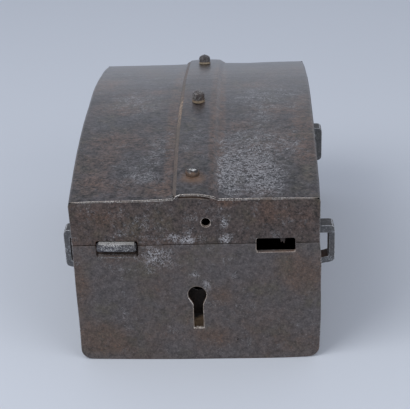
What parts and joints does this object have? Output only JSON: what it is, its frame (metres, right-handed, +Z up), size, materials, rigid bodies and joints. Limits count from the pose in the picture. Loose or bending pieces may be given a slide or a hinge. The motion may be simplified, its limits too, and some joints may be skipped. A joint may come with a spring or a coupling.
{
  "type": "strongbox",
  "caption": "Small forged iron strongbox with a lid arched from front to back, a lapped and riveted top, keyhole, strap loops, rear pin hinges and a sliding lock bolt.",
  "frame": {"origin": "on the floor, under the middle of the box", "axes": "+X to the right, +Y from the lock end to the hinge end, +Z up"},
  "size_m": [0.1378, 0.2045, 0.1099],
  "materials": {
    "forged_iron": "dark brown-grey forge patina with worn paler spots and thin rust",
    "lid_iron": "dark brown-grey forge patina, paler where it is rubbed",
    "bare_steel": "rubbed bright, with dark pits",
    "dark_iron": "blue-black forge skin",
    "lock_iron": "brown rust skin"
  },
  "bodies": {
    "body": {"body_wrap": "forged_iron", "front_plate": "forged_iron", "rear_plate": "forged_iron", "front_plate_rivet_left_lower": "forged_iron", "front_plate_rivet_left_upper": "forged_iron", "front_plate_rivet_right_lower": "forged_iron", "front_plate_rivet_right_upper": "forged_iron", "rear_plate_rivet_left_lower": "forged_iron", "rear_plate_rivet_left_upper": "forged_iron", "rear_plate_rivet_right_lower": "forged_iron", "rear_plate_rivet_right_upper": "forged_iron", "loop_front_left": "dark_iron", "loop_front_right": "dark_iron", "loop_rear_left": "dark_iron", "loop_rear_right": "dark_iron", "hinge_left_body_leaf": "dark_iron", "hinge_left_pin": "bare_steel", "hinge_left_body_rivet_inner": "forged_iron", "hinge_left_body_rivet_outer": "forged_iron", "hinge_right_body_leaf": "dark_iron", "hinge_right_pin": "bare_steel", "hinge_right_body_rivet_inner": "forged_iron", "hinge_right_body_rivet_outer": "forged_iron", "lock_case": "lock_iron", "lock_case_rivet_left_lower": "lock_iron", "lock_case_rivet_left_upper": "lock_iron", "lock_case_rivet_right_lower": "lock_iron", "lock_case_rivet_right_upper": "lock_iron", "lock_spring": "bare_steel", "lock_ward": "lock_iron", "lock_stud": "forged_iron"},
    "lid": {"lid_plate_left": "lid_iron", "lid_plate_right": "lid_iron", "lid_front_wall": "forged_iron", "lid_rear_wall": "forged_iron", "lid_front_rivet_left": "forged_iron", "lid_front_rivet_right": "forged_iron", "lid_rear_rivet_left": "forged_iron", "lid_rear_rivet_right": "forged_iron", "ridge_rivet_front": "dark_iron", "ridge_rivet_middle": "dark_iron", "ridge_rivet_rear": "dark_iron", "front_lug": "bare_steel", "front_lug_rivet_inner": "forged_iron", "front_lug_rivet_outer": "forged_iron", "broken_leaf": "dark_iron", "broken_leaf_rivet_inner": "forged_iron", "broken_leaf_rivet_outer": "forged_iron", "lid_hook": "dark_iron", "lid_hook_rivet_lower": "forged_iron", "lid_hook_rivet_upper": "forged_iron", "hinge_left_lid_leaf": "dark_iron", "hinge_left_lid_rivet_inner": "forged_iron", "hinge_left_lid_rivet_outer": "forged_iron", "hinge_right_lid_leaf": "dark_iron", "hinge_right_lid_rivet_inner": "forged_iron", "hinge_right_lid_rivet_outer": "forged_iron"},
    "bolt": {"lock_bolt": "bare_steel"}
  },
  "joints": [
    {"name": "lid_hinge", "type": "hinge", "parent": "body", "child": "lid", "pos_m": [0, 0.0997, 0.0647], "axis": [-1, 0, 0], "range_deg": [0, 175]},
    {"name": "bolt_slide", "type": "slide", "parent": "body", "child": "bolt", "axis": [1, 0, 0], "range_m": [0, 0.0095]}
  ]
}
